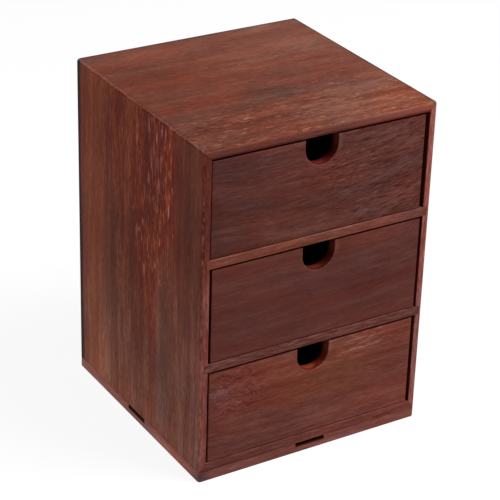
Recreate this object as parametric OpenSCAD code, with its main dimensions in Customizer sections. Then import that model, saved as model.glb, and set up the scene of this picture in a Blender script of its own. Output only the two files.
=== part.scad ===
// Desktop cabinet with three small wooden drawers.
// Origin: centre of the underside. +X right, +Y towards the back, +Z up. Millimetres.
//
// A mitred box of thin boards stands on a mitred base frame. Two dividers are let into
// housings in the side boards, and a thin back panel sits in a rebate. Each drawer is a
// lapped box whose floor runs in grooves, with a finger notch in its front.

/* [Cabinet] */
// Outer width
body_w = 181.5; // [140:0.5:260]
// Outer depth, from the front edges to the back panel
body_d = 181; // [140:0.5:260]
// Overall height, with the base frame
body_h = 250; // [200:1:400]
// Thickness of the side boards
side_t = 5.8; // [5:0.1:10]
// Thickness of the top board
top_t = 6.6; // [5:0.1:10]
// Thickness of the bottom board
bottom_t = 6.6; // [5:0.1:10]
// Radius of the cabinet's upright edges and of its edges around the top
edge_r = 2.5; // [2:0.25:3]
// Radius that eases the front edges inside the mouth, and the seam above the base frame
arris_r = 0.4; // [0.2:0.1:0.8]

/* [Dividers] */
// Thickness of each divider
divider_t = 6.6; // [5:0.1:10]
// Depth of the housings that hold the dividers, cut into the side boards
housing_depth = 3; // [1.5:0.25:3.5]
// Space left between a divider's end and the bottom of its housing
housing_gap = 0.4; // [0.2:0.1:0.8]

/* [Back panel] */
// Thickness of the back panel
back_t = 3; // [2:0.5:5]
// Width of the rebate that the back panel sits in
rebate_w = 3; // [1.5:0.25:3.5]
// Space left between the back panel's edge and the rebate
back_play = 0.3; // [0.2:0.1:0.6]

/* [Base frame] */
// Height of the base frame
base_h = 8; // [6:0.5:25]
// Thickness of its strips, seen from above
base_t = 8; // [5:0.5:15]
// Radius of its lower outer edge
foot_r = 1; // [0.3:0.1:2]
// Length of the slot in the upper edge of each strip
slot_w = 24; // [10:1:60]
// Height of the slot
slot_h = 3.25; // [2:0.25:5]

/* [Drawers] */
// Space beside a drawer in its bay, left and right together
drawer_play = 3.4; // [1.5:0.1:5]
// Space above a drawer's front
head_gap = 1.4; // [0.6:0.1:3]
// Space under a drawer
run_gap = 0.3; // [0.2:0.1:0.8]
// How far the drawer fronts stand behind the cabinet's front edges
front_recess = 0.5; // [0.3:0.1:3]
// Space between a closed drawer and the back panel
stop_gap = 0.5; // [0.3:0.1:6]
// Share of the side play that lies to the left of the upper drawer
upper_left_share = 0.14; // [0.1:0.01:0.9]
// Share of the side play that lies to the left of the middle drawer
middle_left_share = 0.54; // [0.1:0.01:0.9]
// Share of the side play that lies to the left of the lower drawer
lower_left_share = 0.36; // [0.1:0.01:0.9]

/* [Drawer boards] */
// Thickness of a drawer's front
front_t = 7.5; // [7:0.5:14]
// Radius of the front's outer edges
front_edge_r = 0.8; // [0.3:0.1:1.5]
// Thickness of a drawer's sides
wall_t = 5; // [4:0.5:8]
// Thickness of a drawer's back
rear_t = 5; // [4:0.5:8]
// How much lower the sides and the back are than the front
wall_drop = 3; // [0:0.5:10]
// Depth of the rebates that the side boards' ends lap into, in the front
front_lap = 4; // [2:0.5:5]
// Depth of the rebates that the back's ends lap into, in the side boards
rear_lap = 2.5; // [1:0.25:3]
// Thickness of a drawer's floor
floor_t = 3; // [2:0.5:5]
// Height of the floor's groove above the drawer's lower edge
floor_up = 3; // [2:0.5:8]
// Depth of the floor's groove in the boards around it
groove_depth = 2.5; // [1:0.25:2.75]
// Space between the floor's edge and the bottom of its groove
floor_play = 0.3; // [0.2:0.1:0.6]

/* [Finger notch] */
// Width of the notch, which is also the diameter of its round bottom
notch_w = 25.5; // [16:0.5:28]
// Depth of the notch below the front's upper edge
notch_depth = 19.5; // [14:0.5:26]
// Radius that rounds the notch's edge on the outside
notch_edge_r = 0.7; // [0.3:0.1:1.5]

/* [Hidden] */
$fn = 64;
over = 1; // how far a cutter runs past the face it cuts

// The three drawers, from the floor up
LOWER = 0;
MIDDLE = 1;
UPPER = 2;
DRAWERS = ["lower_drawer", "middle_drawer", "upper_drawer"];
LEFT_SHARES = [lower_left_share, middle_left_share, upper_left_share];

// Cabinet
left_x = -body_w / 2;
front_y = -body_d / 2;
inner_w = body_w - 2 * side_t;
inner_x = -inner_w / 2;
inner_low = base_h + bottom_t;
inner_high = body_h - top_t;
inner_h = inner_high - inner_low;
back_seat_y = body_d / 2 - back_t;
bay_h = (inner_h - 2 * divider_t) / len(DRAWERS);
bay_step = bay_h + divider_t;

// Drawers, in their own frame: centre of the lower front edge, +Y to the back
drawer_w = inner_w - drawer_play;
drawer_h = bay_h - run_gap - head_gap;
drawer_y = front_y + front_recess;
drawer_len = back_seat_y - stop_gap - drawer_y;
drawer_x = -drawer_w / 2;
wall_h = drawer_h - wall_drop;
tray_w = drawer_w - 2 * wall_t;
notch_r = notch_w / 2;

// Colours of the stained boards
TOP_COLOUR = [0.50, 0.30, 0.24];
SIDE_COLOUR = [0.40, 0.23, 0.18];
DIVIDER_COLOUR = [0.46, 0.27, 0.21];
FRONT_COLOUR = [0.38, 0.20, 0.17];
BASE_COLOUR = [0.43, 0.26, 0.21];
TRAY_COLOUR = [0.42, 0.25, 0.20];
PANEL_COLOUR = [0.36, 0.21, 0.17];

// ---- Outlines ----

// What a round corner of radius r takes off a square one at the origin
module corner_waste(r) {
    difference() {
        translate([-over, -over]) square(r + over);
        translate([r, r]) circle(r);
    }
}

// A w by h rectangle from the origin, with the radius of each corner in turn:
// low left, low right, high right, high left
module eased_rect(w, h, radii) {
    corners = [[0, 0], [w, 0], [w, h], [0, h]];
    difference() {
        square([w, h]);
        for (i = [0:3]) {
            if (radii[i] > 0) {
                translate(corners[i]) rotate(90 * i) corner_waste(radii[i]);
            }
        }
    }
}

// Stands an outline drawn in X and Z upright, and carries it back along +Y by length
module along_y(length) {
    translate([0, length, 0]) rotate([90, 0, 0]) linear_extrude(length) children();
}

// Stands an outline drawn in Y and Z upright, and carries it along +X by length
module along_x(length) {
    rotate([90, 0, 90]) linear_extrude(length) children();
}

// What a round-over of radius r takes off the cabinet's lower outer edge, at height 0: for
// each of the four sides in turn, the straight run and the round corner where it starts
module round_over_waste(r) {
    lengths = [body_w, body_d, body_w, body_d];
    for (side = [0:3]) {
        run_x = edge_r - lengths[side] / 2;
        run_y = -lengths[(side + 1) % 4] / 2;
        rotate(90 * side) translate([run_x, run_y, 0]) {
            along_x(-2 * run_x) corner_waste(r);
            translate([0, edge_r, 0]) rotate(180) rotate_extrude(angle = 90)
                translate([edge_r, 0]) mirror([1, 0]) corner_waste(r);
        }
    }
}

// The cabinet's outer form from height low to high: round upright edges, and round-overs
// of the radii low_r and high_r all around its lower and upper edges
module outer_form(low, high, low_r, high_r) {
    difference() {
        translate([left_x, front_y, low]) linear_extrude(high - low)
            eased_rect(body_w, body_d, [edge_r, edge_r, edge_r, edge_r]);
        translate([0, 0, low]) round_over_waste(low_r);
        translate([0, 0, high]) mirror([0, 0, 1]) round_over_waste(high_r);
    }
}

// ---- Cabinet ----

module box_form() {
    outer_form(base_h, body_h, arris_r, edge_r);
}

// The rebate around the back opening, cut alike from all four boards of the box
module back_rebate() {
    translate([inner_x - rebate_w, back_seat_y, inner_low - rebate_w])
        cube([inner_w + 2 * rebate_w, back_t + over, inner_h + 2 * rebate_w]);
}

// A board of the box: its mitred outline, seen from the front, within the outer form
module box_board(outline) {
    difference() {
        intersection() {
            box_form();
            translate([0, front_y, 0]) along_y(body_d) polygon(outline);
        }
        back_rebate();
    }
}

module top_board() {
    color(TOP_COLOUR) difference() {
        box_board([
            [left_x, body_h], [inner_x, inner_high], [-inner_x, inner_high], [-left_x, body_h]
        ]);
        translate([left_x, front_y, inner_high]) along_x(body_w) corner_waste(arris_r);
    }
}

module bottom_board() {
    color(BASE_COLOUR) difference() {
        box_board([
            [left_x, base_h], [-left_x, base_h], [-inner_x, inner_low], [inner_x, inner_low]
        ]);
        translate([left_x, front_y, inner_low]) along_x(body_w) mirror([0, 1])
            corner_waste(arris_r);
    }
}

// The left side board, with a housing for each divider. The right one is its mirror image.
module side_board() {
    color(SIDE_COLOUR) difference() {
        box_board([
            [left_x, base_h], [inner_x, inner_low], [inner_x, inner_high], [left_x, body_h]
        ]);
        translate([inner_x, front_y, 0]) linear_extrude(body_h) mirror([1, 0])
            corner_waste(arris_r);
        for (i = [MIDDLE:UPPER]) {
            translate([inner_x - housing_depth, front_y - over, divider_z(i)])
                cube([housing_depth + over, body_d + 2 * over, divider_t]);
        }
    }
}

// Height of the underside of the divider that carries drawer i
function divider_z(i) = inner_low + i * bay_step - divider_t;

module divider(i) {
    reach = housing_depth - housing_gap;
    color(DIVIDER_COLOUR) translate([inner_x - reach, front_y, divider_z(i)])
        along_x(inner_w + 2 * reach)
            eased_rect(back_seat_y - front_y, divider_t, [arris_r, 0, 0, arris_r]);
}

module back_panel() {
    reach = rebate_w - back_play;
    color(PANEL_COLOUR) translate([inner_x - reach, back_seat_y, inner_low - reach])
        cube([inner_w + 2 * reach, back_t, inner_h + 2 * reach]);
}

// ---- Base frame ----

// A mitred strip whose outer edge runs along X at the front, with the slot in its upper
// edge. It is length long and lies out from the middle by reach.
module slotted_strip(length, reach) {
    end_x = length / 2;
    difference() {
        linear_extrude(base_h) polygon([
            [-end_x, -reach], [end_x, -reach],
            [end_x - base_t, base_t - reach], [base_t - end_x, base_t - reach]
        ]);
        translate([-slot_w / 2, -reach - over, base_h - slot_h])
            cube([slot_w, base_t + 2 * over, slot_h + over]);
    }
}

// One strip of the base frame, turned from the front about the middle
module base_strip(turn, length, reach) {
    color(BASE_COLOUR) intersection() {
        outer_form(0, base_h, foot_r, arris_r);
        rotate(turn) slotted_strip(length, reach);
    }
}

// ---- Drawers ----

// The opening of the finger notch, with its outer edge rounded. Its origin is the centre
// of the round bottom, on the front's outer face, and it runs back along +Y.
module notch_cut() {
    neck_h = notch_depth - notch_r + over;
    rotate([-90, 0, 0]) {
        translate([0, 0, -over]) cylinder(r = notch_r, h = front_t + 2 * over);
        rotate_extrude() translate([notch_r, 0]) corner_waste(notch_edge_r);
    }
    translate([-notch_r, -over, 0]) cube([notch_w, front_t + 2 * over, neck_h]);
    for (side = [0, 1]) {
        mirror([side, 0, 0]) translate([notch_r, 0, 0])
            linear_extrude(neck_h) corner_waste(notch_edge_r);
    }
}

// The groove for the floor: a slab as large as the floor with its play
module floor_groove() {
    groove_w = tray_w + 2 * groove_depth;
    groove_low_y = front_t - groove_depth;
    groove_high_y = drawer_len - rear_t + groove_depth;
    translate([-groove_w / 2, groove_low_y, floor_up])
        cube([groove_w, groove_high_y - groove_low_y, floor_t]);
}

module drawer_front() {
    color(FRONT_COLOUR) difference() {
        translate([drawer_x, 0, 0]) intersection() {
            linear_extrude(drawer_h)
                eased_rect(drawer_w, front_t, [front_edge_r, front_edge_r, 0, 0]);
            along_x(drawer_w)
                eased_rect(front_t, drawer_h, [front_edge_r, 0, 0, front_edge_r]);
        }
        translate([0, 0, drawer_h - notch_depth + notch_r]) notch_cut();
        floor_groove();
        for (side = [0, 1]) {
            mirror([side, 0, 0]) translate([tray_w / 2, front_t - front_lap, -over])
                cube([wall_t + over, front_lap + over, drawer_h + 2 * over]);
        }
    }
}

// The left side of a drawer. Its front end laps into the front, and the back's end laps
// into it. The right side is its mirror image.
module drawer_side() {
    start_y = front_t - front_lap;
    inner_face_x = -tray_w / 2;
    color(TRAY_COLOUR) difference() {
        translate([drawer_x, start_y, 0]) along_y(drawer_len - start_y)
            eased_rect(wall_t, wall_h, [0, 0, arris_r, arris_r]);
        translate([inner_face_x - groove_depth, start_y - over, floor_up])
            cube([groove_depth + over, drawer_len, floor_t]);
        translate([inner_face_x - rear_lap, drawer_len - rear_t, -over])
            cube([rear_lap + over, rear_t + over, wall_h + 2 * over]);
    }
}

module drawer_back() {
    width = tray_w + 2 * rear_lap;
    color(TRAY_COLOUR) difference() {
        translate([-width / 2, drawer_len - rear_t, 0]) along_x(width)
            eased_rect(rear_t, wall_h, [0, 0, arris_r, arris_r]);
        floor_groove();
    }
}

module drawer_floor() {
    margin = groove_depth - floor_play;
    length = drawer_len - rear_t - front_t + 2 * margin;
    color(PANEL_COLOUR) translate([-tray_w / 2 - margin, front_t - margin, floor_up])
        cube([tray_w + 2 * margin, length, floor_t]);
}

// Sets a piece of drawer i, drawn in the drawer's own frame, into its bay
module in_bay(i) {
    translate([
        inner_x + LEFT_SHARES[i] * drawer_play + drawer_w / 2,
        drawer_y,
        inner_low + i * bay_step + run_gap
    ]) children();
}

// ---- The pieces ----

top_board();
bottom_board();
side_board();  // left_side_board
mirror([1, 0, 0]) side_board();  // right_side_board
divider(UPPER);  // upper_divider
divider(MIDDLE);  // lower_divider
back_panel();
base_strip(0, body_w, body_d / 2);  // base_front_strip
base_strip(90, body_d, body_w / 2);  // base_right_strip
base_strip(180, body_w, body_d / 2);  // base_back_strip
base_strip(270, body_d, body_w / 2);  // base_left_strip
for (i = [LOWER:UPPER]) {
    drawer = DRAWERS[i];
    in_bay(i) drawer_front();
    in_bay(i) drawer_side();
    union() {
        in_bay(i) mirror([1, 0, 0]) drawer_side();
    }
    in_bay(i) drawer_back();
    in_bay(i) drawer_floor();
}
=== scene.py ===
import math
from dataclasses import dataclass, replace

import bpy
from mathutils import Matrix, Vector


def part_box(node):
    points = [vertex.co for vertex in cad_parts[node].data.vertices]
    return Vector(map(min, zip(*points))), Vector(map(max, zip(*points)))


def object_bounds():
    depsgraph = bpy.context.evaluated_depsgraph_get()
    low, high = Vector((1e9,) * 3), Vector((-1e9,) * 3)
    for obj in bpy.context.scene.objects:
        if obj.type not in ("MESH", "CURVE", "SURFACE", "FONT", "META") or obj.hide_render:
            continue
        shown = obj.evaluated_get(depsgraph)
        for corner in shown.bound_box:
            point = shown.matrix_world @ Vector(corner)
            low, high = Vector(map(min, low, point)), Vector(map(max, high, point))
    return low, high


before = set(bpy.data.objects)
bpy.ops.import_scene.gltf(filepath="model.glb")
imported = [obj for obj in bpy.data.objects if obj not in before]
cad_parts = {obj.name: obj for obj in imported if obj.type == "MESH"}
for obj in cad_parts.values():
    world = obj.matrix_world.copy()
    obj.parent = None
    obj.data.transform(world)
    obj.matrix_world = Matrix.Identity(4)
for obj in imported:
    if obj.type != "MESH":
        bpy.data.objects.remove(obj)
CAD_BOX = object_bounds()

# ---------------------------------------------------------------- camera and lamps

# The photograph's view, solved from the cabinet's edges
CAMERA_PLACE = (-0.63389, -1.02128, 0.73807)
CAMERA_YAW = math.radians(31.889)    # to the right of straight at the front
CAMERA_PITCH = math.radians(27.296)  # downwards
CAMERA_ROLL = math.radians(-1.810)
SENSOR_WIDTH = 36.0    # millimetres
FOCAL_LENGTH = 135.49  # millimetres
CLIP_START = 0.05

LAMP_AIM = (0.0, 0.0, 0.1)
LAMP_SIZE = 0.8
LAMPS = {  # each lamp's place, and its watts
    "overhead": ((0.60, -0.62, 1.45), 27.0),
    "left_side": ((-1.6, 0.15, 0.6), 10.5),
}


def photo_camera():
    """A camera at the photograph's viewpoint, with its field of view."""
    sin_yaw, cos_yaw = math.sin(CAMERA_YAW), math.cos(CAMERA_YAW)
    sin_pitch, cos_pitch = math.sin(CAMERA_PITCH), math.cos(CAMERA_PITCH)
    forward = Vector((sin_yaw * cos_pitch, cos_yaw * cos_pitch, -sin_pitch))
    level_right = Vector((cos_yaw, -sin_yaw, 0.0))
    level_down = forward.cross(level_right)
    right = math.cos(CAMERA_ROLL) * level_right + math.sin(CAMERA_ROLL) * level_down
    down = -math.sin(CAMERA_ROLL) * level_right + math.cos(CAMERA_ROLL) * level_down
    data = bpy.data.cameras.new("photo_camera")
    data.sensor_width = SENSOR_WIDTH
    data.lens = FOCAL_LENGTH
    data.clip_start = CLIP_START
    camera = bpy.data.objects.new("photo_camera", data)
    axes = Matrix((right, -down, -forward)).transposed().to_4x4()
    camera.matrix_world = Matrix.Translation(CAMERA_PLACE) @ axes
    bpy.context.scene.collection.objects.link(camera)
    bpy.context.scene.camera = camera


def soft_lamp(name, place, watts):
    """A square area lamp at place, turned towards the cabinet."""
    data = bpy.data.lights.new(name, "AREA")
    data.size = LAMP_SIZE
    data.energy = watts
    lamp = bpy.data.objects.new(name, data)
    lamp.location = place
    lamp.rotation_euler = (Vector(LAMP_AIM) - Vector(place)).to_track_quat("-Z", "Y").to_euler()
    bpy.context.scene.collection.objects.link(lamp)


# ---------------------------------------------------------------- node building

DARKEST = 4  # the least that an sRGB channel may be, of 255


def linear(colour):
    """Scene-linear RGBA of an sRGB colour given as 0 to 255, kept from going black."""
    def channel(value):
        c = min(max(value, DARKEST), 255) / 255
        return c / 12.92 if c <= 0.04045 else ((c + 0.055) / 1.055) ** 2.4
    return tuple(channel(value) for value in colour) + (1.0,)


class Shade:
    """Adds nodes to one material's or world's tree. An input is a socket to link or a value to set."""

    def __init__(self, tree):
        self.tree = tree
        self.tree.nodes.clear()

    def add(self, kind, inputs, **settings):
        """A new node, with its inputs by name or number and its settings."""
        node = self.tree.nodes.new(kind)
        for key, value in settings.items():
            setattr(node, key, value)
        for key, value in inputs.items():
            self.feed(node.inputs[key], value)
        return node

    def feed(self, socket, value):
        """Links a socket to an input, or sets its value."""
        if isinstance(value, bpy.types.NodeSocket):
            self.tree.links.new(value, socket)
        elif value is not None:
            socket.default_value = value

    def math(self, operation, a, b=None, c=None, clamp=False):
        inputs = {0: a, 1: b, 2: c}
        return self.add("ShaderNodeMath", inputs, operation=operation, use_clamp=clamp).outputs[0]

    def times(self, a, b, clamp=False):
        return self.math("MULTIPLY", a, b, clamp=clamp)

    def plus(self, base, part, weight):
        """base + part * weight."""
        return self.math("MULTIPLY_ADD", part, weight, base)

    def vector(self, operation, a, b=None):
        return self.add("ShaderNodeVectorMath", {0: a, 1: b}, operation=operation).outputs["Vector"]

    def scale(self, vector, factor):
        inputs = {0: vector, "Scale": factor}
        return self.add("ShaderNodeVectorMath", inputs, operation="SCALE").outputs["Vector"]

    def length(self, vector):
        return self.add("ShaderNodeVectorMath", {0: vector}, operation="LENGTH").outputs["Value"]

    def dot(self, a, b):
        return self.add("ShaderNodeVectorMath", {0: a, 1: b}, operation="DOT_PRODUCT").outputs["Value"]

    def parts(self, vector):
        """The x, y and z of a vector."""
        return self.add("ShaderNodeSeparateXYZ", {"Vector": vector}).outputs

    def noise_at(self, place, scales, detail, roughness):
        """A noise node with its own scale, in cycles per metre, along each axis of place."""
        stretched = self.vector("MULTIPLY", place, scales)
        inputs = {"Vector": stretched, "Scale": 1.0, "Detail": detail, "Roughness": roughness}
        return self.add("ShaderNodeTexNoise", inputs).outputs

    def noise(self, place, scales, detail=3.0, roughness=0.55):
        """Noise from 0 to 1."""
        return self.noise_at(place, scales, detail, roughness)["Fac"]

    def wave(self, place, scales, detail=3.0, roughness=0.55):
        """Noise from -0.5 to 0.5."""
        return self.math("SUBTRACT", self.noise(place, scales, detail, roughness), 0.5)

    def sway(self, place, scales, detail=1.0, roughness=0.55):
        """A noise vector, from -0.5 to 0.5 along each axis."""
        colour = self.noise_at(place, scales, detail, roughness)["Color"]
        return self.vector("SUBTRACT", colour, (0.5, 0.5, 0.5))

    def fade(self, value, start, end, low=0.0, high=1.0):
        """Goes smoothly from low to high as value goes from start to end."""
        inputs = {"Value": value, "From Min": start, "From Max": end, "To Min": low, "To Max": high}
        node = self.add("ShaderNodeMapRange", inputs, interpolation_type="SMOOTHSTEP")
        return node.outputs["Result"]

    def mix(self, factor, a, b, blend="MIX"):
        """a where the factor is 0, and b where it is 1."""
        node = self.add("ShaderNodeMix", {}, data_type="RGBA", blend_type=blend)
        sockets = {socket.identifier: socket for socket in node.inputs}
        self.feed(sockets["Factor_Float"], factor)
        self.feed(sockets["A_Color"], a)
        self.feed(sockets["B_Color"], b)
        return next(s for s in node.outputs if s.identifier == "Result_Color")

    def tinted(self, mask, colour, tint):
        """The colour, multiplied by tint where mask is 1."""
        return self.mix(mask, colour, self.mix(1.0, colour, (*tint, 1.0), blend="MULTIPLY"))

    def ramp(self, factor, stops):
        """A colour ramp. stops are (position, linear colour)."""
        node = self.add("ShaderNodeValToRGB", {"Fac": factor})
        elements = node.color_ramp.elements
        while len(elements) < len(stops):
            elements.new(0.5)
        for element, (position, colour) in zip(elements, stops):
            element.position = position
            element.color = colour
        return node.outputs["Color"]


def material_shade(name):
    """A new material and the Shade that builds its nodes."""
    material = bpy.data.materials.new(name)
    material.use_nodes = True
    return material, Shade(material.node_tree)


# ---------------------------------------------------------------- stained wood

PLAIN = (1.0, 1.0, 1.0)
AXES = {"x": 0, "y": 1, "z": 2}
SEED_STEP = (0.37, 0.61, 0.23)

# Noise scales in cycles per metre: along the grain, across it, and through the board
CLOUD_SCALE = (14.0, 30.0, 30.0)
BAND_SCALE = (6.0, 120.0, 120.0)
LINE_SCALE = (45.0, 600.0, 600.0)
GRIT_SCALE = (170.0, 900.0, 900.0)
DRIFT_SCALE = (12.0, 40.0, 40.0)
DASH_SCALE = (95.0, 950.0, 950.0)
FLECK_SCALE = (72.0, 480.0, 480.0)
PORE_SCALE = (220.0, 2600.0, 2600.0)
WORN_SCALE = (160.0, 300.0, 300.0)
WANDER_SCALE = (9.0, 22.0, 22.0)
WAVER_SCALE = (45.0, 70.0, 70.0)
SWIRL_SCALE = (60.0, 60.0, 60.0)

# How far the grain's lines leave the straight, in metres
WANDER_REACH = (0.0, 0.007, 0.007)
WAVER_REACH = (0.0, 0.0016, 0.0016)

# Where each mask begins and where it is full
TURNED_RANGE = (0.85, 0.55)
INSIDE_SHADE_RANGE = (0.4, 0.8)
ARRIS_RANGE = (0.98, 0.86)
WORN_RANGE = (0.42, 0.66)
DRIFT_RANGE = (0.36, 0.64)
FLECK_RANGE = (0.675, 0.735)
PORE_RANGE = (0.6, 0.7)

# Growth rings: long ovals along the grain, and where in a ring its dark line rises and fades
RING_FLATTENING = (0.13, 1.0, 1.0)
RING_WOBBLE = 0.004
RING_RISE = (0.0, 0.15)
RING_FALL = (0.8, 0.25)

# Tone, from 0 for the deepest stain to 1 for the palest, and its sRGB steps from the stain
MIDDLE_TONE = 0.5
TONE_STOPS = (0.15, MIDDLE_TONE, 0.85)
DEEP_STEP = -22
PALE_STEP = 26
LINE_WEIGHT = 1.2
RING_WEIGHT = -0.2

# Dashes and flecks: what their masks are made of, their sRGB steps, and how strongly they show
DASH_GAIN = 0.11
DASH_SHARPNESS = 9.0
PALE_DASH_START = 0.71
DARK_DASH_START = 0.30
FLECK_GAIN = 0.07
FLECK_ONSET = 4.0
PALE_DASH_STEP = 62
DARK_DASH_STEP = -36
PALE_DASH_SHARE = 0.6
DARK_DASH_SHARE = 0.75
FLECK_SHARE = 0.65
PORE_SHARE = 0.5

# Tints: the two ends of the stain's drift, the open pores, and painted shade on the faces that look
# inwards
RED = (1.13, 0.97, 0.89)
BROWN = (0.88, 1.02, 1.12)
PORE = (0.50, 0.42, 0.40)
INSIDE_SHADE = (0.62, 0.42, 0.40)

# The satin finish
ROUGHNESS = 0.5
LINE_ROUGHNESS = 0.25
PORE_ROUGHNESS = 0.15
SPECULAR = 0.035
LINE_HEIGHT = 0.5
PORE_HEIGHT = -0.3
BUMP_STRENGTH = 0.3
BUMP_DISTANCE = 0.00025


@dataclass
class Patch:
    """A part of a board that differs: an ellipsoid of the rest position, in metres."""
    middle: tuple
    reach: tuple
    tint: tuple = PLAIN    # multiplies the colour
    light: float = 0.0     # adds to the pale dashes
    dark: float = 0.0      # adds to the dark dashes
    flecks: float = 0.0    # adds to the sharp pale flecks
    wear: float = 0.0      # adds to the wear of the arrises
    contrast: float = 0.0  # adds to the depth of the grain's tones
    curl: float = 0.0      # how far the grain swirls, in metres
    blur: float = 0.25     # share of the reach over which the patch fades
    ragged: float = 0.5    # how uneven its outline is


@dataclass
class Wood:
    """How one board looks. Its stain is sRGB, and each tint multiplies the linear colour."""
    grain: str                       # the axis that the grain follows
    across: str                      # the axis across the grain, on the broad face
    through: str                     # the axis through the board's thickness
    stain: tuple
    light: float = 0.0               # pale dashes
    dark: float = 0.0                # dark dashes
    streaks: float = 1.0             # long lines along the grain
    grit: float = 0.6                # short fine lines
    clouds: float = 0.7              # broad unevenness
    hue: float = 1.0                 # drift between a redder and a greyer brown
    rings: float = 0.5               # dark lines of the growth rings
    ring_step: float = 0.007
    ring_centre: tuple = (0.0, 0.02, -0.06)
    bow: float = 0.0                 # how strongly the grain bends down past bow_start
    bow_start: float = 0.0
    edge: tuple = PLAIN              # tint where the board's edge shows
    edge_calm: float = 0.0           # how much plainer the grain is there
    inside: tuple = (0.0, 0.0, 0.0)  # direction of the face that looks into the cabinet, which gets painted shade
    wear: float = 0.5                # how far the arrises have worn
    fleck: tuple = (188, 124, 98)    # the sharp pale flecks, in sRGB
    seed: float = 0.0
    patches: tuple = ()


@dataclass
class Cut:
    """What the steps of one board's material share: its wood, and the sockets of its noises and masks."""
    wood: Wood
    zones: list     # each patch with its mask
    board: object   # the place along the grain, across it, and through the board
    grain: object   # the same place, wandering as the grain does
    cloud: object   # noise for broad unevenness
    bands: object   # noise for the bands along the grain
    lines: object   # noise for the lines along the grain
    turned: object  # 1 where the board's edge shows
    calm: object    # multiplies the grain's marks, and is lower on the edge


def shifted(colour, step):
    """Linear RGBA of an sRGB colour, moved by the same step in each channel."""
    return linear([channel + step for channel in colour])


def total(s, base, key, zones):
    """A board's own amount of something, and what its patches add to it."""
    for patch, mask in zones:
        if getattr(patch, key):
            base = s.plus(base, mask, getattr(patch, key))
    return base


def patch_mask(s, here, unevenness, patch):
    """1 inside the patch, 0 outside it."""
    scaled = s.vector("DIVIDE", s.vector("SUBTRACT", here, patch.middle), patch.reach)
    uneven = s.plus(s.length(scaled), unevenness, patch.ragged)
    return s.fade(uneven, 1.0 + patch.blur, 1.0 - patch.blur)


def board_place(s, here, wood):
    """The place along the grain, across it, and through the board, moved by the board's seed."""
    parts = s.parts(here)
    along, across, through = (parts[AXES[axis]] for axis in (wood.grain, wood.across, wood.through))
    if wood.bow:
        past = s.math("MAXIMUM", s.math("SUBTRACT", along, wood.bow_start), 0.0)
        across = s.plus(across, s.times(past, past), -wood.bow)
    place = s.add("ShaderNodeCombineXYZ", {"X": along, "Y": across, "Z": through}).outputs[0]
    return s.vector("ADD", place, tuple(wood.seed * step for step in SEED_STEP))


def wandering_grain(s, board, zones):
    """The place that the grain's noises read, so that the lines wander and swirl a little."""
    wander = s.vector("MULTIPLY", s.sway(board, WANDER_SCALE), WANDER_REACH)
    waver = s.vector("MULTIPLY", s.sway(board, WAVER_SCALE), WAVER_REACH)
    grain = s.vector("ADD", s.vector("ADD", board, wander), waver)
    for patch, mask in zones:
        if patch.curl:
            swirl = s.sway(board, SWIRL_SCALE, detail=2.0)
            grain = s.vector("ADD", grain, s.scale(swirl, s.times(mask, patch.curl)))
    return grain


def cut_board(s, here, normal, wood):
    """The sockets that the steps of a board's material share."""
    board = board_place(s, here, wood)
    cloud = s.wave(board, CLOUD_SCALE)
    zones = [(patch, patch_mask(s, here, cloud, patch)) for patch in wood.patches]
    grain = wandering_grain(s, board, zones)
    bands = s.wave(grain, BAND_SCALE, detail=2.0)
    lines = s.wave(grain, LINE_SCALE, roughness=0.65)
    turned = s.fade(s.math("ABSOLUTE", s.parts(normal)[AXES[wood.through]]), *TURNED_RANGE)
    calm = s.plus(1.0, turned, -wood.edge_calm)
    return Cut(wood, zones, board, grain, cloud, bands, lines, turned, calm)


def late_wood(s, cut):
    """1 along the dark line of each growth ring, about a pith that lies outside the board."""
    wood = cut.wood
    pith = tuple(step * wood.seed + c for step, c in zip(SEED_STEP, wood.ring_centre))
    flat = s.vector("MULTIPLY", s.vector("SUBTRACT", cut.grain, pith), RING_FLATTENING)
    turns = s.math("DIVIDE", s.plus(s.length(flat), cut.bands, RING_WOBBLE), wood.ring_step)
    phase = s.math("FRACT", turns)
    return s.times(s.fade(phase, *RING_RISE), s.fade(phase, *RING_FALL))


def grain_tone(s, cut):
    """The grain's tone, from 0 for the deepest stain to 1 for the palest."""
    wood = cut.wood
    depth = s.times(cut.bands, wood.streaks)
    depth = s.plus(depth, cut.lines, LINE_WEIGHT * wood.streaks)
    depth = s.plus(depth, s.wave(cut.grain, GRIT_SCALE, detail=2.0, roughness=0.7), wood.grit)
    depth = s.plus(depth, cut.cloud, wood.clouds)
    depth = s.plus(depth, late_wood(s, cut), RING_WEIGHT * wood.rings)
    contrast = s.times(total(s, 1.0, "contrast", cut.zones), cut.calm)
    return s.plus(MIDDLE_TONE, depth, contrast)


def stained(s, cut):
    """The stain's colour: tones of the grain, drift between a redder and a greyer brown, and patches."""
    wood = cut.wood
    tones = (shifted(wood.stain, DEEP_STEP), linear(wood.stain), shifted(wood.stain, PALE_STEP))
    colour = s.ramp(grain_tone(s, cut), tuple(zip(TONE_STOPS, tones)))
    drift = s.fade(s.noise(cut.grain, DRIFT_SCALE, detail=5.0, roughness=0.6), *DRIFT_RANGE)
    tint = s.mix(drift, (*RED, 1.0), (*BROWN, 1.0))
    colour = s.mix(wood.hue, colour, s.mix(1.0, colour, tint, blend="MULTIPLY"))
    for patch, mask in cut.zones:
        if patch.tint != PLAIN:
            colour = s.tinted(mask, colour, patch.tint)
    return colour


def dashes(s, cut):
    """Masks of the short pale and dark marks of an open grain."""
    field = s.noise(cut.grain, DASH_SCALE, detail=2.0, roughness=0.5)
    pale, deep = (
        total(s, s.math("ADD", cut.cloud, getattr(cut.wood, key)), key, cut.zones)
        for key in ("light", "dark"))
    over = s.math("SUBTRACT", s.plus(field, pale, DASH_GAIN), PALE_DASH_START)
    under = s.math("SUBTRACT", s.plus(DARK_DASH_START, deep, DASH_GAIN), field)
    light = s.times(s.times(over, DASH_SHARPNESS, clamp=True), cut.calm)
    return light, s.times(under, DASH_SHARPNESS, clamp=True)


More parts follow.
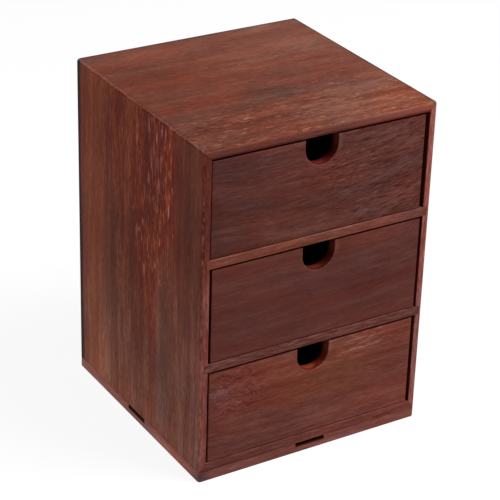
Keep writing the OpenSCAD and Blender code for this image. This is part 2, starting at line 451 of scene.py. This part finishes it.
def flecked(s, colour, cut):
    """The colour with sparse, sharp, pale flecks, where the patches ask for them."""
    if not any(patch.flecks for patch in cut.wood.patches):
        return colour
    share = total(s, 0.0, "flecks", cut.zones)
    field = s.noise(cut.grain, FLECK_SCALE, detail=2.0)
    sharp = s.fade(s.plus(field, share, FLECK_GAIN), *FLECK_RANGE)
    mask = s.times(sharp, s.times(share, FLECK_ONSET, clamp=True))
    return s.mix(s.times(mask, s.times(cut.calm, FLECK_SHARE)), colour, linear(cut.wood.fleck))


def marked(s, colour, cut, light, dark, pores):
    """The colour with its dashes, flecks and fine open pores."""
    stain = cut.wood.stain
    colour = s.mix(s.times(light, PALE_DASH_SHARE), colour, shifted(stain, PALE_DASH_STEP))
    colour = flecked(s, colour, cut)
    colour = s.mix(s.times(dark, DARK_DASH_SHARE), colour, shifted(stain, DARK_DASH_STEP))
    return s.tinted(s.times(pores, PORE_SHARE), colour, PORE)


def worn_arrises(s, normal, cut):
    """A mask of the spots on the arrises where the stain has worn thin."""
    sizes = [s.math("ABSOLUTE", part) for part in s.parts(normal)]
    largest = s.math("MAXIMUM", s.math("MAXIMUM", sizes[0], sizes[1]), sizes[2])
    spots = s.fade(s.noise(cut.board, WORN_SCALE, detail=2.0), *WORN_RANGE)
    wear = total(s, cut.wood.wear, "wear", cut.zones)
    return s.times(s.fade(largest, *ARRIS_RANGE), s.times(spots, wear))


def finished(s, colour, normal, cut):
    """The colour with the board's edges, painted shade on its face that looks inwards, and its worn
    arrises.
    """
    colour = s.tinted(cut.turned, colour, cut.wood.edge)
    if any(cut.wood.inside):
        # Painted shade on the face that looks into the cabinet
        inward_shade = s.fade(s.dot(normal, cut.wood.inside), *INSIDE_SHADE_RANGE)
        colour = s.tinted(inward_shade, colour, INSIDE_SHADE)
    return s.mix(worn_arrises(s, normal, cut), colour, shifted(cut.wood.stain, PALE_DASH_STEP))


def relief(s, cut, light, dark, pores):
    """The normal of a surface whose pale dashes stand up, and whose dark dashes and pores sink in."""
    height = s.math("SUBTRACT", s.plus(light, cut.lines, LINE_HEIGHT), dark)
    height = s.plus(height, pores, PORE_HEIGHT)
    inputs = {"Height": height, "Strength": BUMP_STRENGTH, "Distance": BUMP_DISTANCE}
    return s.add("ShaderNodeBump", inputs).outputs["Normal"]


def stained_wood(name, wood):
    """Open-grained wood under a satin red-brown stain, as a solid texture."""
    material, s = material_shade(name)
    coords = s.add("ShaderNodeTexCoord", {}).outputs
    cut = cut_board(s, coords["Object"], coords["Normal"], wood)
    light, dark = dashes(s, cut)
    pores = s.fade(s.noise(cut.grain, PORE_SCALE, detail=1.0), *PORE_RANGE)
    colour = marked(s, stained(s, cut), cut, light, dark, pores)
    roughness = s.plus(s.plus(ROUGHNESS, cut.lines, LINE_ROUGHNESS), pores, PORE_ROUGHNESS)
    surface = s.add("ShaderNodeBsdfPrincipled", {
        "Base Color": finished(s, colour, coords["Normal"], cut),
        "Roughness": roughness,
        "Normal": relief(s, cut, light, dark, pores),
        "Specular IOR Level": SPECULAR,
    })
    s.add("ShaderNodeOutputMaterial", {"Surface": surface.outputs["BSDF"]})
    return material


def dress(node, wood):
    """Gives a CAD node its own cut of wood."""
    material = stained_wood(node + "_wood", wood)
    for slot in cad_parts[node].material_slots:
        slot.material = material


# ---------------------------------------------------------------- patches by face

(LEFT_X, FRONT_Y, _), (RIGHT_X, BACK_Y, TOP_Z) = CAD_BOX
FAR = 9.0            # a reach that goes past the whole cabinet
EDGE_REACH = 0.0010  # how deep the tones of a front edge go


def on_top(place, reach, tint=PLAIN, **marks):
    """A patch of the top. Its place and reach are along x and y."""
    return Patch((*place, TOP_Z), (*reach, FAR), tint, **marks)


def on_left(place, reach, tint=PLAIN, **marks):
    """A patch of the left side. Its place and reach are along y and z."""
    return Patch((LEFT_X, *place), (FAR, *reach), tint, **marks)


def on_right(place, reach, tint=PLAIN, **marks):
    """A patch of the right side. Its place and reach are along y and z."""
    return Patch((RIGHT_X, *place), (FAR, *reach), tint, **marks)


def on_front(place, reach, tint=PLAIN, **marks):
    """A patch of the front. Its place and reach are along x and z."""
    (x, z), (reach_x, reach_z) = place, reach
    return Patch((x, FRONT_Y, z), (reach_x, FAR, reach_z), tint, **marks)


def edge_tones(x, rows):
    """Patches along an upright front edge, from rows of height, reach and tint."""
    return tuple(
        Patch((x, FRONT_Y, z), (FAR, EDGE_REACH, reach), tint, blur=0.3, ragged=0.3)
        for z, reach, tint in rows)


# ---------------------------------------------------------------- the boards

# A thin painted highlight along the rounded arris where the top and the left side meet
ARRIS_HIGHLIGHT = Patch((LEFT_X, 0, TOP_Z), (0.0014, FAR, 0.0014), (1.6, 2.4, 3.5), blur=0.3, ragged=1.6)

TOP = Wood(
    "x", "y", "z", (114, 62, 47), light=-0.4, dark=-0.2, streaks=0.5, grit=0.9, clouds=0.9, hue=0.9,
    rings=0.1, edge=(1.18, 1.26, 1.60), edge_calm=0.88, inside=(0, 0, -1), wear=0.1, patches=(
        # The front third is more strongly marked and flecked, and the back is calmer and paler
        on_top((0, FRONT_Y + 0.012), (FAR, 0.042), (0.97, 0.95, 0.90), light=0.9, dark=1.1, flecks=0.25,
               contrast=0.8, blur=0.4, ragged=1.4),
        on_top((0.03, BACK_Y), (0.17, 0.075), (1.13, 1.17, 1.12), light=-0.8, dark=-0.4, blur=0.7),
        on_top((0, BACK_Y - 0.008), (FAR, 0.010), (1.02, 1.10, 1.22), blur=0.6),
        on_top((-0.055, FRONT_Y + 0.122), (0.045, 0.014), (1.12, 1.01, 0.90), blur=0.6),
        # Between them lies a greyer zone, with a redder one to its left
        on_top((-0.003, FRONT_Y + 0.064), (0.019, 0.014), (0.80, 1.05, 1.16), blur=0.6),
        on_top((0.036, FRONT_Y + 0.068), (0.030, 0.014), (0.96, 1.03, 1.20), flecks=0.20, contrast=0.3,
               blur=0.7),
        on_top((-0.055, FRONT_Y + 0.067), (0.036, 0.007), (1.18, 1.02, 1.00), blur=0.5),
        # The left half is darker
        on_top((LEFT_X, -0.02), (0.105, 0.110), (0.76, 0.68, 0.63), blur=0.6),
        on_top((LEFT_X + 0.020, FRONT_Y + 0.022), (0.026, 0.020), flecks=0.35, blur=0.5),
        on_top((LEFT_X + 0.035, FRONT_Y + 0.090), (0.040, 0.030), (0.95, 0.88, 0.78), blur=0.6),
        # The front right corner has worn to a paler brown
        on_top((RIGHT_X, FRONT_Y + 0.02), (0.060, 0.030), (1.20, 1.28, 1.25), blur=0.7),
        on_top((RIGHT_X - 0.020, FRONT_Y + 0.009), (0.036, 0.014), (1.36, 1.34, 1.32), blur=0.5),
        Patch((RIGHT_X - 0.005, FRONT_Y + 0.004, TOP_Z), (0.006, 0.006, 0.004), (1.00, 1.25, 0.95),
              blur=0.5),
        # Darker spots
        on_top((RIGHT_X - 0.020, FRONT_Y + 0.120), (0.040, 0.060), (0.92, 0.94, 0.95), blur=0.6),
        on_top((LEFT_X + 0.010, FRONT_Y + 0.083), (0.026, 0.008), (0.78, 0.75, 0.73), blur=0.6),
        on_top((LEFT_X + 0.010, FRONT_Y + 0.034), (0.017, 0.012), (0.76, 0.82, 0.88), blur=0.6),
        on_top((0.011, FRONT_Y + 0.011), (0.014, 0.012), (0.84, 0.82, 0.82), blur=0.6),
        on_top((0.055, FRONT_Y + 0.058), (0.018, 0.020), (0.87, 0.86, 0.86), blur=0.6),
        # The front edge, with painted shade along its foot, where the rounded lower arris is in shadow
        Patch((0, FRONT_Y, TOP_Z - 0.0068), (FAR, 0.0030, 0.0017), (0.55, 0.34, 0.32), blur=0.4,
              ragged=0.6),
        Patch((-0.045, FRONT_Y, TOP_Z - 0.005), (0.052, 0.0012, 0.004), (0.87, 0.97, 1.04), blur=0.4),
        Patch((0.042, FRONT_Y, TOP_Z - 0.005), (0.016, 0.0012, 0.004), (1.00, 0.88, 0.86), blur=0.4),
        Patch((0.070, FRONT_Y, TOP_Z - 0.005), (0.022, 0.0012, 0.004), (0.84, 0.83, 0.93), blur=0.4),
        # Painted shade along the back and the right edge, on the roundings that turn away from the lamps
        on_top((0, BACK_Y), (FAR, 0.0042), (0.50, 0.62, 0.78), blur=0.3, ragged=0.6),
        on_top((RIGHT_X, 0), (0.0030, FAR), (0.45, 0.55, 0.70), blur=0.4, ragged=0.6),
        ARRIS_HIGHLIGHT,
    ),
)
SIDE = Wood(
    "z", "y", "x", (106, 53, 38), light=-0.6, streaks=0.8, grit=0.9, clouds=0.7, hue=0.8, rings=0.2,
    wear=0.1,
)
LEFT_EDGE = edge_tones(LEFT_X, (
    (0.211, 0.030, (0.89, 0.98, 1.14)),
    (0.160, 0.022, (1.22, 1.18, 1.10)),
    (0.066, 0.055, (1.10, 0.93, 0.83)),
))
RIGHT_EDGE = edge_tones(RIGHT_X, (
    (0.170, 0.045, (1.14, 1.12, 1.14)),
    (0.170, 0.018, (1.14, 1.14, 1.16)),
    (0.117, 0.012, (0.92, 0.85, 0.87)),
    (0.100, 0.026, (0.84, 0.78, 0.80)),
    (0.060, 0.016, (0.86, 1.00, 1.02)),
    (0.026, 0.016, (1.06, 1.30, 1.50)),
))
LEFT = replace(
    SIDE, seed=2.0, hue=0.6, edge=(1.25, 1.25, 1.7), inside=(1, 0, 0), fleck=(200, 122, 95), patches=(
        # Glued strips: a dull dark one at the front, a flecked red one, a streaky one, a plain pale one
        on_left((FRONT_Y + 0.018, 0.25), (0.0235, 0.15), (0.74, 0.71, 0.76), light=-1.0, dark=-0.6,
                flecks=-1.6, contrast=-0.1, blur=0.07, ragged=0.15),
        on_left((FRONT_Y + 0.057, 0.215), (0.019, 0.060), (1.13, 0.63, 0.42), light=0.5, dark=1.2,
                flecks=1.3, contrast=0.6, blur=0.35, ragged=0.9),
        on_left((FRONT_Y + 0.066, 0.20), (0.024, 0.085), (1.10, 0.68, 0.36), light=0.8, dark=1.9,
                flecks=1.0, contrast=0.7, blur=0.5, ragged=1.2),
        on_left((FRONT_Y + 0.095, 0.25), (0.040, 0.18), (0.91, 0.73, 0.54), light=0.4, dark=0.7,
                contrast=1.0, blur=0.3, ragged=0.5),
        on_left((FRONT_Y + 0.154, 0.25), (0.0185, FAR), (1.14, 1.14, 1.02), light=-1.5, dark=-1.0,
                contrast=-0.15, blur=0.10, ragged=0.15),
        # Redder towards the top, and paler towards the base, most of all at the back, which is painted
        # light bounced from the white floor
        on_left((0.0, 0.25), (FAR, 0.110), (1.0, 0.86, 0.64), blur=0.6, ragged=0.4),
        on_left((0.0, 0.0), (FAR, 0.120), (1.11, 1.40, 1.66), light=-0.5, contrast=-0.1, blur=0.6,
                ragged=0.4),
        on_left((BACK_Y, 0.0), (0.070, 0.095), (1.36, 1.38, 1.28), blur=0.5, ragged=0.4),
        # Darker and paler stretches of the strips, from the middle down
        on_left((FRONT_Y + 0.056, 0.128), (0.012, 0.028), (0.88, 0.84, 0.84), blur=0.4, ragged=0.8),
        on_left((0.014, 0.115), (0.034, 0.042), (0.91, 0.84, 0.74), blur=0.5, ragged=0.8),
        on_left((FRONT_Y + 0.079, 0.110), (0.011, 0.045), (1.16, 1.10, 1.02), blur=0.4, ragged=0.8),
        on_left((FRONT_Y + 0.154, 0.105), (0.019, 0.050), (0.93, 0.86, 0.75), blur=0.4),
        on_left((FRONT_Y + 0.118, 0.100), (0.024, 0.060), (0.85, 0.84, 0.83), blur=0.4, ragged=0.8),
        on_left((FRONT_Y + 0.050, 0.085), (0.011, 0.042), (0.86, 0.98, 1.00), contrast=-0.3, blur=0.5),
        on_left((FRONT_Y + 0.056, 0.064), (0.010, 0.016), (0.85, 0.85, 0.84), blur=0.5, ragged=0.8),
        on_left((FRONT_Y + 0.010, 0.062), (0.012, 0.016), (0.84, 0.82, 0.86), blur=0.5, ragged=0.8),
        on_left((FRONT_Y + 0.022, 0.04), (0.022, 0.09), (1.07, 1.24, 1.35), blur=0.3, ragged=0.4),
        on_left((FRONT_Y + 0.034, 0.036), (0.012, 0.014), (1.26, 1.24, 1.20), blur=0.5, ragged=0.8),
        on_left((0.014, 0.030), (0.036, 0.036), (1.17, 1.16, 1.12), blur=0.5, ragged=0.8),
        on_left((-0.015, 0.02), (0.045, 0.080), (0.86, 0.83, 0.80), blur=0.5),
        on_left((FRONT_Y + 0.152, 0.014), (0.032, 0.014), (1.20, 1.15, 1.06), blur=0.5, ragged=0.8),
        on_left((FRONT_Y + 0.042, 0.012), (0.027, 0.013), (1.38, 1.28, 1.18), blur=0.5, ragged=0.8),
        on_left((FRONT_Y + 0.089, 0.012), (0.024, 0.013), (1.24, 1.25, 1.34), blur=0.5, ragged=0.8),
        # Thin streaks, a crimson and an ochre one, and a row of flecks
        on_left((FRONT_Y + 0.0665, 0.065), (0.0034, 0.050), (1.20, 0.90, 0.84), blur=0.6, ragged=1.2),
        on_left((FRONT_Y + 0.0697, 0.021), (0.0035, 0.012), (1.20, 1.15, 0.72), blur=0.5, ragged=0.8),
        on_left((FRONT_Y + 0.051, 0.033), (0.006, 0.022), flecks=0.7, blur=0.5),
        # Painted shade along the back edge: a darker band, and a black line on the rounding that turns
        # away from the light
        on_left((BACK_Y, 0.25), (0.0145, FAR), (0.74, 0.70, 0.82), blur=0.4, ragged=0.2),
        on_left((BACK_Y, 0.25), (0.0062, FAR), (0.16, 0.15, 0.15), blur=0.3, ragged=0.5),
        # The arrises and the front edge: painted shade with some wear on the front arris, and the painted
        # highlight on the top one
        Patch((LEFT_X, FRONT_Y, 0.25), (0.0014, 0.0014, FAR), (0.86, 0.58, 0.60), wear=0.35, blur=0.4,
              ragged=1.6),
        Patch((LEFT_X, FRONT_Y, 0.048), (0.0016, 0.0016, 0.040), (1.30, 1.50, 1.40), blur=0.4, ragged=0.6),
        ARRIS_HIGHLIGHT,
        *LEFT_EDGE,
    ),
)
RIGHT = replace(
    SIDE, seed=3.0, edge=(1.9, 2.55, 3.7), inside=(-1, 0, 0), patches=(
        # Two glued strips, and the front edge
        on_right((FRONT_Y + 0.075, 0.25), (0.026, FAR), (0.86, 0.80, 0.76), dark=0.5, flecks=0.2,
                 contrast=0.3, blur=0.07, ragged=0.15),
        on_right((FRONT_Y + 0.140, 0.25), (0.018, FAR), (1.12, 1.12, 1.04), light=-0.8, contrast=-0.3,
                 blur=0.10, ragged=0.15),
        *RIGHT_EDGE,
    ),
)
RAIL = Wood("x", "z", "y", (124, 70, 59), light=-0.2, dark=0.3, rings=0.2, streaks=0.8, hue=0.5, wear=0.2)
BOTTOM = replace(
    RAIL, stain=(115, 62, 55), seed=1.0, patches=(
        on_front((-0.048, 0.012), (0.050, FAR), (0.82, 0.81, 0.80), blur=0.4),
        on_front((0.048, 0.012), (0.044, FAR), (1.26, 1.25, 1.14), blur=0.4),
    ),
)
UPPER_DIVIDER = replace(
    RAIL, seed=4.0, patches=(
        on_front((-0.055, 0.16), (0.036, FAR), (1.13, 1.06, 0.95), blur=0.4),
        on_front((-0.010, 0.16), (0.022, FAR), (1.00, 0.94, 0.84), blur=0.5),
        on_front((0.075, 0.16), (0.020, FAR), (0.73, 0.70, 0.72), blur=0.4),
    ),
)
LOWER_DIVIDER = replace(
    RAIL, stain=(121, 74, 67), dark=2.2, seed=5.0, patches=(
        on_front((-0.022, 0.09), (0.036, FAR), (0.87, 0.91, 0.93), blur=0.5),
        on_front((0.062, 0.09), (0.032, FAR), (1.07, 1.14, 1.08), blur=0.5),
    ),
)

# The base frame. The right and the back strip repeat the left and the front one
# Painted shade at the foot of the front left corner
CORNER_SHADE = Patch((LEFT_X, FRONT_Y, 0.0), (0.009, 0.009, 0.008), (0.50, 0.60, 0.78), blur=0.5)
BASE_LONG = replace(
    RAIL, stain=(133, 80, 71), edge=(0.35, 0.22, 0.20), wear=0.0, patches=(
        on_front((-0.060, 0.0), (0.042, FAR), (0.85, 0.84, 0.92), blur=0.4),
        on_front((0.042, 0.0), (0.034, FAR), (1.07, 1.06, 1.05), blur=0.4),
        CORNER_SHADE,
    ),
)
BASE_DEEP = replace(
    BASE_LONG, grain="y", through="x", stain=(148, 94, 84), patches=(
        on_left((FRONT_Y + 0.044, 0.0), (0.022, FAR), (1.28, 1.14, 1.08), blur=0.4),
        on_left((FRONT_Y + 0.135, 0.0), (0.030, FAR), (1.18, 1.08, 1.05), blur=0.4),
        # The shaded lip under the slot
        on_left((FRONT_Y + 0.0893, 0.0062), (0.0125, 0.0013), (0.50, 0.42, 0.42), blur=0.4),
        CORNER_SHADE,
    ),
)

# The drawers
FRONT = Wood(
    "x", "z", "y", (97, 55, 48), light=-0.6, rings=0.2, streaks=0.55, grit=0.5, clouds=0.75, hue=0.8,
    edge=(0.50, 0.26, 0.25), wear=0.0,
)
UPPER_FRONT = replace(
    FRONT, bow=1.15, bow_start=-0.01, seed=11.0, patches=(
        # Strongly marked at the right, and darker at the left
        on_front((0.055, 0.205), (0.060, 0.045), (1.06, 1.02, 1.02), light=1.1, dark=1.4, contrast=0.2,
                 ragged=0.8),
        on_front((LEFT_X, 0.205), (0.060, FAR), (0.84, 0.84, 0.90), dark=-0.3, blur=0.6),
        on_front((-0.030, 0.180), (0.070, 0.014), (1.16, 1.03, 0.90), blur=0.6),
        on_front((0.050, 0.178), (0.035, 0.012), (0.86, 0.86, 0.88), blur=0.6),
        on_front((0, 0.242), (FAR, 0.008), (1.14, 1.12, 1.12), blur=0.6),
    ),
)
MIDDLE_FRONT = replace(
    FRONT, stain=(98, 53, 47), light=-1.5, dark=-1.0, rings=0.1, streaks=0.32, grit=0.2, clouds=0.3,
    hue=0.7, bow=0.8, bow_start=0.01, seed=16.0, patches=(
        on_front((0, 0.157), (0.060, 0.012), (1.05, 0.98, 0.87), blur=0.6),
        on_front((0.060, 0.140), (0.036, 0.036), contrast=0.6, blur=0.6),
    ),
)
LOWER_FRONT = replace(
    FRONT, stain=(116, 62, 51), light=-0.2, dark=0.1, rings=0.3, streaks=0.5, clouds=0.6, hue=0.7,
    ring_centre=(0.012, 0.050, -0.088), ring_step=0.006, seed=21.0, patches=(
        # A swirl at the left, a warmer middle, and pale streaks beside the notch
        on_front((-0.062, 0.066), (0.022, 0.018), (0.97, 0.96, 1.04), light=0.8, dark=0.9, contrast=0.7,
                 curl=0.016),
        on_front((0.020, 0.057), (0.040, 0.020), (1.03, 1.03, 0.83), blur=0.6),
        on_front((-0.032, 0.074), (0.032, 0.010), (1.13, 1.13, 1.11), blur=0.6),
        on_front((0.040, 0.078), (0.028, 0.010), (1.10, 1.08, 1.02), light=1.8, blur=0.6),
        # Darker at the left end and the lower left, and a little paler elsewhere
        on_front((-0.082, 0.054), (0.013, 0.016), (0.82, 0.79, 0.84), blur=0.6),
        on_front((-0.052, 0.029), (0.050, 0.018), (0.82, 0.83, 0.88), blur=0.5, ragged=0.8),
        on_front((0.055, 0.045), (0.040, 0.035), (1.08, 1.07, 1.15), dark=0.5, blur=0.6),
        on_front((-0.005, 0.052), (0.035, 0.012), (1.08, 1.07, 1.06), blur=0.6, ragged=0.8),
    ),
)
# Tints for the bottom of a finger notch: a redder stain on the end grain, and painted light where the lamp
# reaches it
CRIMSON = (1.7, 1.9, 2.9)
OCHRE = (2.0, 3.9, 3.4)
DRAWERS = {  # each drawer's front, and the tint at the bottom of its finger notch, partly a redder stain and partly painted light
    "upper_drawer": (UPPER_FRONT, CRIMSON),
    "middle_drawer": (MIDDLE_FRONT, CRIMSON),
    "lower_drawer": (LOWER_FRONT, OCHRE),
}
LENGTHWISE = replace(SIDE, grain="y", across="z")
CROSSWISE = replace(SIDE, grain="x", across="z", through="y")
LYING = replace(SIDE, grain="x", through="z")

# Places in the finger notch: down from the front board's upper edge, and to the right of its middle
NOTCH_MIDDLE = 0.009
NOTCH_BOTTOM = 0.0205
NOTCH_CORNER = 0.004
NOTCH_RIGHT = 0.0135


def notch_wall(node, bottom_stain_and_light):
    """The finger notch's wall: dark red, its worn rim partly a painted highlight, greyer at the right, and
    painted light on its redder bottom.
    """
    low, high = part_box(node)
    x, y, _ = (low + high) / 2
    z = high.z
    plain = {"blur": 0.1, "ragged": 0.0}
    return (
        Patch((x, y, z - NOTCH_MIDDLE), (0.015, 0.0032, 0.013), (1.6, 1.05, 0.75), **plain),
        # The worn rim, which also carries a painted highlight on its rounded edge
        Patch((x, FRONT_Y, z - NOTCH_MIDDLE), (0.0135, 0.0016, 0.0115), wear=0.8, **plain),
        # The bottom: a redder stain with painted light
        Patch((x - 0.0005, y + 0.0018, z - NOTCH_BOTTOM), (0.0060, 0.0034, 0.0036), bottom_stain_and_light, blur=0.35,
              ragged=0.9),
        Patch((x + NOTCH_RIGHT, y, z - NOTCH_CORNER), (0.004, 0.0036, 0.0100), (1.7, 2.4, 2.6), blur=0.4),
    )


def dress_cabinet():
    """Gives each piece of the cabinet and its base frame its wood."""
    boards = {
        "top_board": TOP,
        "bottom_board": BOTTOM,
        "left_side_board": LEFT,
        "right_side_board": RIGHT,
        "upper_divider": UPPER_DIVIDER,
        "lower_divider": LOWER_DIVIDER,
        "back_panel": replace(SIDE, across="x", through="y", seed=6.0),
        "base_front_strip": replace(BASE_LONG, seed=7.0),
        "base_back_strip": replace(BASE_LONG, seed=8.0),
        "base_left_strip": replace(BASE_DEEP, seed=9.0),
        "base_right_strip": replace(BASE_DEEP, seed=10.0),
    }
    for node, wood in boards.items():
        dress(node, wood)


def dress_drawer(drawer, front, bottom_stain_and_light):
    """Gives each piece of a drawer its wood, cut from seeds that follow the front's."""
    notched = replace(front, patches=front.patches + notch_wall(drawer + "_front", bottom_stain_and_light))
    dress(drawer + "_front", notched)
    others = {"left_side": LENGTHWISE, "right_side": LENGTHWISE, "back": CROSSWISE, "floor": LYING}
    for step, (piece, wood) in enumerate(others.items(), start=1):
        dress(f"{drawer}_{piece}", replace(wood, seed=front.seed + step))


# ---------------------------------------------------------------- floor and surroundings

FLOOR_SIZE = 6.0
FLOOR_CLEARANCE = 0.0001
FLOOR_COLOUR = (0.72, 0.71, 0.70, 1.0)
FLOOR_SHADE = (0.14, 0.14, 0.14, 1.0)  # what is left of that colour where the floor is seen directly
FLOOR_GLOW = 0.90
UNDER_CABINET = (0.084, 0.088)  # from the middle, where the floor's painted shadow under the cabinet gives way to the open floor
WHITE = (1.0, 1.0, 1.0, 1.0)
STUDIO_STRENGTH = 0.13
BACKDROP_STRENGTH = 1.0


def seen_directly(s):
    """1 for camera, mirror and glass rays, 0 for the rays that light things."""
    path = s.add("ShaderNodeLightPath", {}).outputs
    mirrored = s.math("MAXIMUM", path["Is Glossy Ray"], path["Is Transmission Ray"])
    return s.math("MAXIMUM", path["Is Camera Ray"], mirrored)


def floor_glow(s):
    """The light that the open floor adds where it is seen directly, and none inside the base frame, which
    paints a shadow there.
    """
    parts = s.parts(s.add("ShaderNodeTexCoord", {}).outputs["Object"])
    from_middle = s.math("MAXIMUM", s.math("ABSOLUTE", parts["X"]), s.math("ABSOLUTE", parts["Y"]))
    strength = s.fade(from_middle, *UNDER_CABINET, 0.0, FLOOR_GLOW)
    return s.add("ShaderNodeEmission", {"Strength": strength})


def pale_floor():
    """A white floor. Seen directly it is nearly white by itself, keeps a soft shadow, and has a painted
    shadow under the cabinet.
    """
    mesh = bpy.data.meshes.new("floor")
    half = FLOOR_SIZE / 2
    corners = [(-half, -half, 0), (half, -half, 0), (half, half, 0), (-half, half, 0)]
    mesh.from_pydata(corners, [], [(0, 1, 2, 3)])
    floor = bpy.data.objects.new("floor", mesh)
    floor.location.z = -FLOOR_CLEARANCE
    bpy.context.scene.collection.objects.link(floor)
    material, s = material_shade("floor")
    matte = s.add("ShaderNodeBsdfDiffuse", {"Color": FLOOR_COLOUR})
    dim = s.add("ShaderNodeBsdfDiffuse", {"Color": FLOOR_SHADE})
    bright = s.add("ShaderNodeAddShader", {0: dim.outputs[0], 1: floor_glow(s).outputs[0]})
    either = {0: seen_directly(s), 1: matte.outputs[0], 2: bright.outputs[0]}
    s.add("ShaderNodeOutputMaterial", {"Surface": s.add("ShaderNodeMixShader", either).outputs[0]})
    mesh.materials.append(material)


def studio_world():
    """Even white light from all sides, with a white backdrop."""
    world = bpy.data.worlds.new("studio")
    bpy.context.scene.world = world
    world.use_nodes = True
    s = Shade(world.node_tree)
    light, backdrop = (
        s.add("ShaderNodeBackground", {"Color": WHITE, "Strength": strength}).outputs[0]
        for strength in (STUDIO_STRENGTH, BACKDROP_STRENGTH))
    either = {0: seen_directly(s), 1: light, 2: backdrop}
    s.add("ShaderNodeOutputWorld", {"Surface": s.add("ShaderNodeMixShader", either).outputs[0]})


dress_cabinet()
for name, (front, bottom_stain_and_light) in DRAWERS.items():
    dress_drawer(name, front, bottom_stain_and_light)
photo_camera()
pale_floor()
studio_world()
for name, (place, watts) in LAMPS.items():
    soft_lamp(name, place, watts)
bpy.context.scene.view_settings.view_transform = "Standard"
